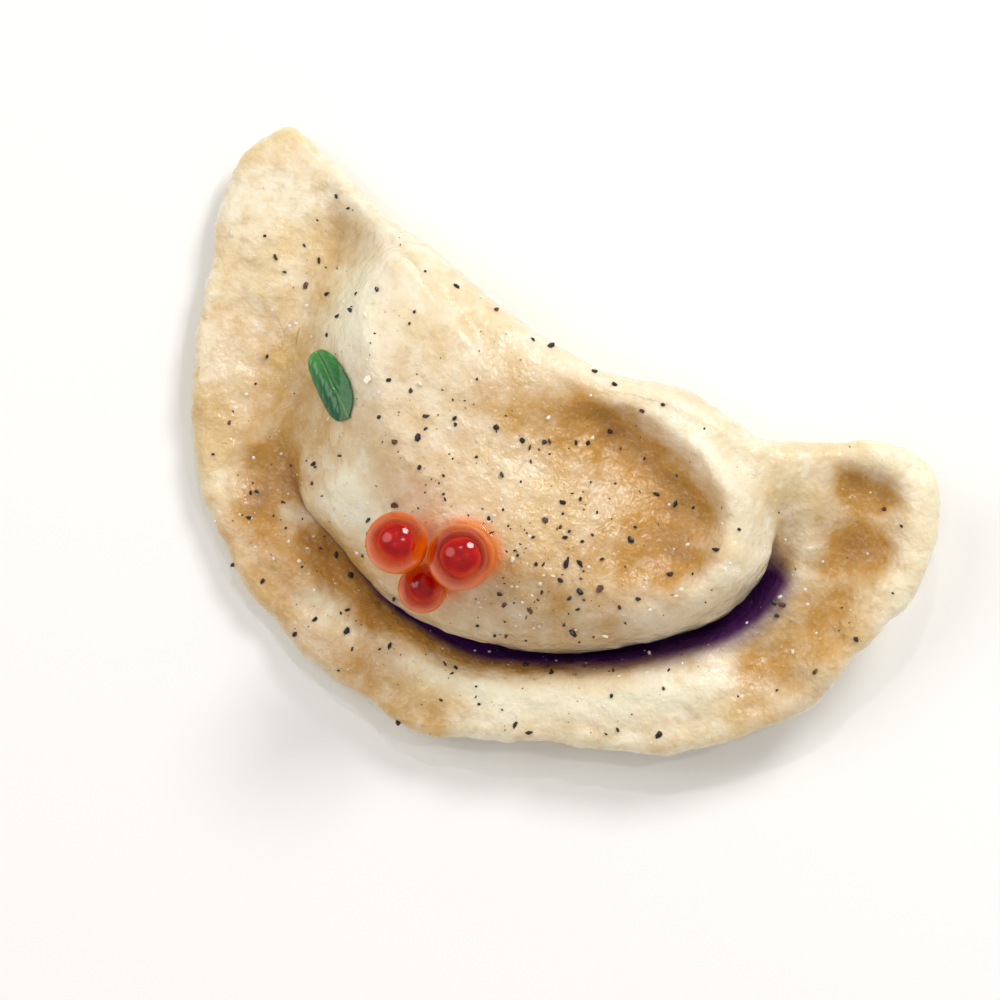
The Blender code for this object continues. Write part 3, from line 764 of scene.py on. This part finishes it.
roe_balls = []
for number in (1, 2, 3):
    node = f"roe_{number}"
    low, high = (np.array(corner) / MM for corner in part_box(node))
    centre, radius = (low + high) / 2.0, (high[2] - low[2]) / 2.0
    roe_balls.append((centre, radius))
    shell = ball(f"{node}_membrane", centre, radius * ROE_SWELL, 0.015, 30 + number)
    shell.data.materials.append(roe_membrane)
    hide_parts(node)
    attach(shell, "root")
    heart_at = centre + np.array([0.0, 0.0, YOLK_RISE]) * radius
    yolk = ball(f"{node}_yolk", heart_at, radius * YOLK_SHARE, 0.07, 40 + number)
    yolk.data.materials.append(roe_yolk)
    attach(yolk, "root")


def film(name, thickness, look):
    """A film of liquid that lies on the dough, that many millimetres thick at each point."""
    wet = [face for face in faces if max(thickness[i] for i in face) > 0.0]
    used = sorted({i for face in wet for i in face})
    place_of = {i: n for n, i in enumerate(used)}
    lifted = points[used] + film_normals[used] * (thickness[used, None] - 0.04)
    made = add_mesh(name, lifted * MM, [tuple(place_of[i] for i in face) for face in wet])
    add_values(made, "depth", thickness[used])
    made.data.materials.append(look)
    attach(made, "root")
    return made


# The brine that wells up where the eggs come near the dough, orange from their oil.
BRINE_THICKNESS = 1.2
BRINE_REACH = (-0.2, 1.9)  # the gap under an egg at which the brine starts to thin, and ends
STAIN_REACH = (0.4, 2.6)
brine_depth = np.zeros(len(points))
brine_tint = np.zeros(len(points))
for centre, radius in roe_balls:
    gap = np.linalg.norm(points - centre, axis=1) - radius
    brine_depth = np.maximum(brine_depth, BRINE_THICKNESS * (1.0 - smooth_step(gap, *BRINE_REACH)) ** 1.3)
    brine_tint = np.maximum(brine_tint, 1.0 - smooth_step(gap, *STAIN_REACH))
brine_depth *= on_top
add_values(dough, "brine", brine_tint)

roe_brine, tree, shader = new_material(
    "roe_brine",
    Base_Color=colour("#FF9410"),
    Roughness=0.04,
    IOR=1.36,
    Coat_Weight=1.0,
    Coat_Roughness=0.02,
)
brine_deep = values_of(tree, "depth")
tree.links.new(map_range(tree, brine_deep, 0.0, 0.9, 0.0, 0.5), shader.inputs["Alpha"])
brine = film("roe_brine", brine_depth, roe_brine)

# ------------------------------------------------------------------------------------ the leaf
# One thyme leaf: a blunt oval blade with a groove along its midrib and a few side veins. It is limp
# from the steam and lies along the slope of the belly.
LEAF_TURN = -27.0
LEAF_LENGTH, LEAF_WIDTH, LEAF_THICKNESS = 8.1, 3.8, 0.28
LEAF_LIFT = 0.3
LEAF_CLEAR, LEAF_UNDER_CLEAR = 0.38, 0.12  # how far its two faces stay above the dough
LEAF_EDGE = 0.06  # the blade thins to this at its edge
VEIN_SPACING = 1.25
LEAF_ROWS, LEAF_COLUMNS = 72, 32

low, high = (np.array(corner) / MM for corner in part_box("thyme_leaf"))
leaf_middle = (low + high) / 2.0


def dough_below(x, y):
    """Where a line straight down meets the dough, and the dough's normal there."""
    return dough_tree.ray_cast(Vector((x, y, ABOVE_ALL)) * MM, Vector((0.0, 0.0, -1.0)))[:2]


hit, normal = dough_below(leaf_middle[0], leaf_middle[1])
normal = (normal + Vector((0.0, 0.0, 0.7))).normalized()
turn = math.radians(LEAF_TURN)
leaf_along = Vector((math.cos(turn), math.sin(turn), 0.0))
leaf_along = (leaf_along - normal * leaf_along.dot(normal)).normalized()
leaf_axes = np.array([leaf_along, normal.cross(leaf_along), normal])
leaf_base = np.array(hit) / MM + (0.0, 0.0, LEAF_LIFT)

rows = np.linspace(-1.0, 1.0, LEAF_ROWS + 1)
columns = np.linspace(-1.0, 1.0, LEAF_COLUMNS + 1)
row, column = np.meshgrid(rows, columns, indexing="ij")
half_width = 0.5 * LEAF_WIDTH * (1.0 - np.abs(row) ** 2.8) ** 0.5 * (1.0 + 0.08 * row)
half_width = np.maximum(half_width, 0.12)
leaf_x = 0.5 * LEAF_LENGTH * row
leaf_y = half_width * column + 0.18 * (1.0 - row**2)
from_rib = np.abs(column) * half_width
vein_phase = (leaf_x * 0.9 - from_rib * 1.1) / VEIN_SPACING
side_vein = np.exp(-(((vein_phase - np.round(vein_phase)) / 0.11) ** 2)) * smooth_step(from_rib, 0.1, 0.4)
rib = np.exp(-((from_rib / 0.16) ** 2))
flat_leaf = np.stack([leaf_x.ravel(), leaf_y.ravel(), np.zeros(leaf_x.size)], axis=1)
blade_z = 0.34 + 0.34 * np.sin(np.minimum(from_rib, 1.9) * 1.5)
blade_z = blade_z - 0.09 * leaf_x**2 / 8.0 + 0.14 * row * column
blade_z += -0.10 * rib - 0.05 * side_vein + 0.05 * grain(flat_leaf, 0.8, 51).reshape(row.shape)
sheet = np.stack([leaf_x, leaf_y, blade_z], axis=2)
edge_fade = (1.0 - np.abs(column) ** 8)[:, :, None]
under = sheet - np.array([0.0, 0.0, 1.0]) * (LEAF_EDGE + (LEAF_THICKNESS - LEAF_EDGE) * edge_fade)
across = LEAF_COLUMNS + 1
leaf_points = np.vstack([sheet.reshape(-1, 3), under.reshape(-1, 3)])
below = sheet.shape[0] * across
leaf_faces = []
for i in range(LEAF_ROWS):
    for j in range(LEAF_COLUMNS):
        a, b = i * across + j, (i + 1) * across + j
        leaf_faces.append((a, b, b + 1, a + 1))
        leaf_faces.append((below + a, below + a + 1, below + b + 1, below + b))
    for a, b in ((i * across, (i + 1) * across), ((i + 2) * across - 1, (i + 1) * across - 1)):
        leaf_faces.append((a, below + a, below + b, b))
for j in range(LEAF_COLUMNS):
    a = LEAF_ROWS * across + j
    leaf_faces.append((j, j + 1, below + j + 1, below + j))
    leaf_faces.append((a + 1, a, below + a, below + a + 1))
leaf_points = leaf_base + leaf_points @ leaf_axes
for number, point in enumerate(leaf_points):
    ground = dough_below(point[0], point[1])[0]
    if ground is not None:
        clear = LEAF_CLEAR if number < below else LEAF_UNDER_CLEAR
        point[2] = max(point[2], ground.z / MM + clear)
leaf = add_mesh("thyme_leaf_blade", leaf_points * MM, leaf_faces)
add_values(leaf, "rib", np.tile(rib.ravel(), 2))
add_values(leaf, "vein", np.tile(side_vein.ravel(), 2))
add_values(leaf, "toward_stalk", np.tile(row.ravel(), 2))
add_values(leaf, "across", np.tile(column.ravel(), 2))

# Fresh thyme: waxy green skin, paler along the veins, painted paler towards one end where the blade
# catches light, and painted darker along one side, as painted shade.
thyme_green, tree, shader = new_material(
    "fresh_thyme_leaf",
    Roughness=0.34,
    IOR=1.42,
    Subsurface_Weight=0.15,
    Subsurface_Scale=0.0006,
    Coat_Weight=0.6,
    Coat_Roughness=0.12,
)
shader.inputs["Subsurface Radius"].default_value = (0.4, 1.0, 0.2)
place = add_node(tree, "ShaderNodeTexCoord").outputs["Object"]
cells = noise(tree, place, 0.5, 3.0)
rib_value = values_of(tree, "rib")
vein_value = values_of(tree, "vein")
stalk_value = values_of(tree, "toward_stalk")
across_value = values_of(tree, "across")
green = mix_colour(tree, map_range(tree, cells, 0.35, 0.65), colour("#0C7A28"), colour("#065C2C"))
# Painted shade: the blade darkens towards one side.
green = mix_colour(tree, map_range(tree, across_value, 0.1, -1.0, 0.0, 0.75), green, colour("#04483A"))
# Painted light: the blade pales towards one end.
green = mix_colour(tree, map_range(tree, stalk_value, 0.1, -0.95, 0.0, 0.6), green, colour("#4E9E3A"))
green = mix_colour(tree, map_range(tree, vein_value, 0.3, 1.0, 0.0, 0.35), green, colour("#3F9A48"))
green = mix_colour(tree, map_range(tree, rib_value, 0.35, 0.95, 0.0, 0.5), green, colour("#7FB860"))
tree.links.new(green, shader.inputs["Base Color"])
skin_bump = add_node(
    tree, "ShaderNodeBump", {"Height": cells, "Strength": 0.35, "Distance": 0.06 * MM}
)
tree.links.new(skin_bump.outputs[0], shader.inputs["Normal"])
leaf.data.materials.append(thyme_green)
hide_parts("thyme_leaf")
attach(leaf, "root")

# ------------------------------------------------------------------------------------ the pepper
# Cracked black pepper, strewn by hand: flakes of dark husk, brown inner husk and a little pale
# core, all broken and angular and stuck to the wet dough.
PEPPER_SEED = 7
FLAKE_SMALLEST, FLAKE_SPAN = 0.07, 0.46  # half the size of a flake: most are near the smallest
STEEPEST_FOR_FLAKES, STEEPEST_FOR_DROPS = 0.25, 0.3  # nothing stays where the skin is steeper
CLEAR_OF_LEAF = 3.0
# Where it fell thick, as (x, y, spread, flakes).
PEPPER_FALLS = [
    (0.0, 0.0, 17.0, 130),
    (7.5, -6.0, 4.2, 62),
    (-6.0, 1.0, 6.5, 44),
    (11.0, 1.0, 5.0, 16),
    (-30.0, 14.0, 3.2, 18),
    (-18.0, -15.0, 5.5, 22),
    (-3.0, -17.5, 7.0, 28),
    (22.0, -9.0, 7.0, 24),
    (33.0, 8.0, 6.0, 22),
    (-20.0, 14.0, 6.0, 20),
    (4.0, -4.0, 11.0, 130),
    (-10.0, -12.0, 12.0, 70),
]
PEPPER_KINDS = [("pepper_husk", 0.66), ("pepper_inner_husk", 0.24), ("pepper_core", 0.10)]

draw = np.random.default_rng(PEPPER_SEED)
kind_shares = np.cumsum([share for _, share in PEPPER_KINDS])
flake_points = {name: [] for name, _ in PEPPER_KINDS}
flake_faces = {name: [] for name, _ in PEPPER_KINDS}
corner_step = (1.0 + math.sqrt(5.0)) / 2.0
CHIP_CORNERS = np.array([
    (-1, corner_step, 0), (1, corner_step, 0), (-1, -corner_step, 0), (1, -corner_step, 0),
    (0, -1, corner_step), (0, 1, corner_step), (0, -1, -corner_step), (0, 1, -corner_step),
    (corner_step, 0, -1), (corner_step, 0, 1), (-corner_step, 0, -1), (-corner_step, 0, 1),
]) / 1.9
CHIP_FACES = [
    (0, 11, 5), (0, 5, 1), (0, 1, 7), (0, 7, 10), (0, 10, 11), (1, 5, 9), (5, 11, 4), (11, 10, 2),
    (10, 7, 6), (7, 1, 8), (3, 9, 4), (3, 4, 2), (3, 2, 6), (3, 6, 8), (3, 8, 9), (4, 9, 5),
    (2, 4, 11), (6, 2, 10), (8, 6, 7), (9, 8, 1),
]


def is_bare(spot, round_eggs):
    """True if no egg and no leaf covers a spot on the dough."""
    if any(np.linalg.norm(spot[:2] - c[:2]) < r + round_eggs for c, r in roe_balls):
        return False
    return np.linalg.norm(spot[:2] - leaf_middle[:2]) >= CLEAR_OF_LEAF


for x, y, spread, count in PEPPER_FALLS:
    landed = 0
    for _ in range(count * 6):
        at = draw.normal((x, y), spread)
        size = FLAKE_SMALLEST + FLAKE_SPAN * draw.random() ** 3.2
        name = PEPPER_KINDS[np.searchsorted(kind_shares, draw.random())][0]
        spin = draw.random(3) * 2.0 * math.pi
        shape = draw.uniform(0.55, 1.1, 12)
        squeeze = draw.uniform((0.7, 0.5, 0.4), (1.3, 0.9, 0.8))
        spot, normal = dough_below(*placed((at[0], at[1]))[:2])
        if landed == count or spot is None or normal.z < STEEPEST_FOR_FLAKES:
            continue
        spot = np.array(spot) / MM
        if not is_bare(spot, 0.4):
            continue
        turned = np.array(Matrix.Rotation(spin[0], 3, "Z") @ Matrix.Rotation(spin[1] * 0.2, 3, "X"))
        chip = (CHIP_CORNERS * shape[:, None] * squeeze * size) @ turned.T
        start_at = len(flake_points[name])
        flake_points[name].extend((spot + np.array(normal) * size * 0.25 + chip).tolist())
        flake_faces[name].extend(tuple(i + start_at for i in face) for face in CHIP_FACES)
        landed += 1

# Dried peppercorn, cracked: dull and wrinkled, with a thin wet coat all over.
for name, dark, light, roughness in (
    ("pepper_husk", "#08080D", "#1E1820", 0.5),
    ("pepper_inner_husk", "#3A2018", "#6B4528", 0.6),
    ("pepper_core", "#E6D6B4", "#FFF8E8", 0.5),
):
    look, tree, shader = new_material(name, Roughness=roughness, Coat_Weight=0.25, Coat_Roughness=0.2)
    place = add_node(tree, "ShaderNodeTexCoord").outputs["Object"]
    wrinkles = noise(tree, place, 0.2, 2.0)
    tree.links.new(
        mix_colour(tree, map_range(tree, wrinkles, 0.35, 0.65), colour(dark), colour(light)),
        shader.inputs["Base Color"],
    )
    husk_bump = add_node(
        tree, "ShaderNodeBump", {"Height": wrinkles, "Strength": 0.5, "Distance": 0.04 * MM}
    )
    tree.links.new(husk_bump.outputs[0], shader.inputs["Normal"])
    flakes = add_mesh(name, np.array(flake_points[name]) * MM, flake_faces[name], smooth=False)
    flakes.data.materials.append(look)
    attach(flakes, "root")

# ------------------------------------------------------------------------------------ the butter
# Melted butter: one small thin pool in the hollow of the rim, and droplets of butter and water that
# stand on the skin, coloured near-white as painted glints. The pool is clear yellow and shows the
# dough through it.
POOL_DEPTH = 0.22
melted_butter, tree, shader = new_material(
    "melted_butter",
    Base_Color=colour("#EBC25E"),
    Roughness=0.03,
    IOR=1.46,
    Coat_Weight=1.0,
    Coat_Roughness=0.02,
)
butter_deep = values_of(tree, "depth")
tree.links.new(map_range(tree, butter_deep, 0.0, 0.2, 0.0, 0.38), shader.inputs["Alpha"])
pool_depth = marks_height(form, [([(-27.5, 2.0), (-26.0, -1.5), (-24.0, -4.0)], 1.9, 1.0)])[:, 0]
pool_depth = POOL_DEPTH * smooth_step(pool_depth + 0.25 * grain(points, 1.6, 61), 0.4, 1.2) * on_top
pool = film("butter_pool", pool_depth, melted_butter)

# Where the droplets stand, as (x, y, spread, droplets), thickest round the roe and in the hollows.
DROPLET_FALLS = [
    (0.0, 0.0, 16.0, 150),
    (4.0, -8.0, 4.0, 80),
    (-13.0, -8.1, 1.4, 40),
    (-20.0, -10.0, 5.0, 50),
    (14.0, -12.0, 7.0, 60),
    (-28.0, 2.0, 4.0, 50),
    (28.0, 8.0, 7.0, 60),
]
DROPLET_ROWS, DROPLET_COLUMNS = 5, 10
DROP_SMALLEST, DROP_SPAN = 0.05, 0.17
DROP_FLATNESS, DROP_SUNK = 0.6, 0.08
draw = np.random.default_rng(PEPPER_SEED + 1)
droplet_points, droplet_faces = [], []
for x, y, spread, count in DROPLET_FALLS:
    for _ in range(count):
        at = draw.normal((x, y), spread)
        size = DROP_SMALLEST + DROP_SPAN * draw.random() ** 3.0
        spot, normal = dough_below(*placed((at[0], at[1]))[:2])
        stretch_by = draw.uniform(0.8, 1.5)
        if spot is None or normal.z < STEEPEST_FOR_DROPS:
            continue
        spot = np.array(spot) / MM
        if not is_bare(spot, 0.3):
            continue
        side = normal.orthogonal().normalized()
        axes = np.array([side, normal.cross(side), normal])
        start_at = len(droplet_points)
        droplet_points.append((spot + np.array(normal) * size * DROP_FLATNESS).tolist())
        for row in range(1, DROPLET_ROWS + 1):
            turn = 0.5 * math.pi * row / DROPLET_ROWS
            for column in range(DROPLET_COLUMNS):
                around = 2.0 * math.pi * column / DROPLET_COLUMNS
                local = np.array([
                    math.sin(turn) * math.cos(around) * stretch_by,
                    math.sin(turn) * math.sin(around),
                    DROP_FLATNESS * math.cos(turn) - DROP_SUNK,
                ])
                droplet_points.append((spot + local * size @ axes).tolist())
        for column in range(DROPLET_COLUMNS):
            after = (column + 1) % DROPLET_COLUMNS
            droplet_faces.append((start_at, start_at + 1 + column, start_at + 1 + after))
            for row in range(DROPLET_ROWS - 1):
                upper = start_at + 1 + row * DROPLET_COLUMNS
                lower = upper + DROPLET_COLUMNS
                droplet_faces.append((upper + column, lower + column, lower + after, upper + after))
droplets = add_mesh("butter_droplets_painted_glints", np.array(droplet_points) * MM, droplet_faces)
# They are so small that each would be mostly the glint of the window in it, so each is coloured
# near-white, a painted glint.
painted_glint_droplet, tree, shader = new_material(
    "painted_glint_droplet",
    Base_Color=colour("#FFFDF6"),
    Roughness=0.05,
    Alpha=0.8,
    Coat_Weight=1.0,
    Coat_Roughness=0.02,
)
droplets.data.materials.append(painted_glint_droplet)
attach(droplets, "root")

# ------------------------------------------------------------------------------------ the studio
# A plain white table. A soft window beyond the fold and a broad light from the left shape the
# dumpling, and three small lamps put glints on what is wet.
FLOOR_SIZE = 3.0
FLOOR_GAP = (0.0, 0.0, 0.00002)  # so that the table and the flat base don't coincide
CAMERA_AZIMUTH, CAMERA_ELEVATION, CAMERA_DISTANCE = 30.0, 82.0, 0.5
LENS = 180.0

floor_corners = np.array([(-1, -1, 0), (1, -1, 0), (1, 1, 0), (-1, 1, 0)]) * FLOOR_SIZE - FLOOR_GAP
floor = add_mesh("table_top", floor_corners, [(0, 1, 2, 3)], smooth=False)
table_white, tree, shader = new_material("table_white", Base_Color=colour("#FAFAFA"), Roughness=0.7)
floor.data.materials.append(table_white)


def add_light(name, azimuth, elevation, distance, size, power, tint):
    """A round soft light that faces the dumpling from that direction."""
    lamp = bpy.data.lights.new(name, "AREA")
    lamp.shape = "DISK"
    lamp.size = size
    lamp.energy = power
    lamp.color = colour(tint)[:3]
    made = bpy.data.objects.new(name, lamp)
    turn, rise = math.radians(azimuth), math.radians(elevation)
    toward = Vector((math.cos(turn) * math.cos(rise), math.sin(turn) * math.cos(rise), math.sin(rise)))
    made.location = toward * distance
    made.rotation_euler = (-made.location).to_track_quat("-Z", "Y").to_euler()
    bpy.context.scene.collection.objects.link(made)


add_light("window", 80.0, 42.0, 0.9, 0.30, 3.9, "#FFFCF8")
add_light("sky", 190.0, 52.0, 1.2, 0.7, 3.2, "#FFFAF2")
add_light("lamp_left", 118.0, 62.0, 0.8, 0.03, 0.4, "#FFFFFF")
add_light("lamp_right", 40.0, 66.0, 0.8, 0.03, 0.4, "#FFFFFF")
add_light("lamp_front", 275.0, 74.0, 0.8, 0.03, 0.25, "#FFFFFF")

world = bpy.data.worlds.new("studio_air")
world.use_nodes = True
world.node_tree.nodes["Background"].inputs["Color"].default_value = colour("#FFFDFA")
world.node_tree.nodes["Background"].inputs["Strength"].default_value = 0.44
bpy.context.scene.world = world
bpy.context.scene.view_settings.view_transform = "Standard"

lens = bpy.data.cameras.new("camera")
lens.lens = LENS
camera = bpy.data.objects.new("camera", lens)
turn, rise = math.radians(CAMERA_AZIMUTH), math.radians(CAMERA_ELEVATION)
back = Vector((math.sin(turn) * math.cos(rise), -math.cos(turn) * math.cos(rise), math.sin(rise)))
target = Vector((0.0, 0.0, 0.006))
camera.location = target + back * CAMERA_DISTANCE
camera.rotation_euler = (math.pi / 2.0 - rise, 0.0, turn)
bpy.context.scene.collection.objects.link(camera)
bpy.context.scene.camera = camera
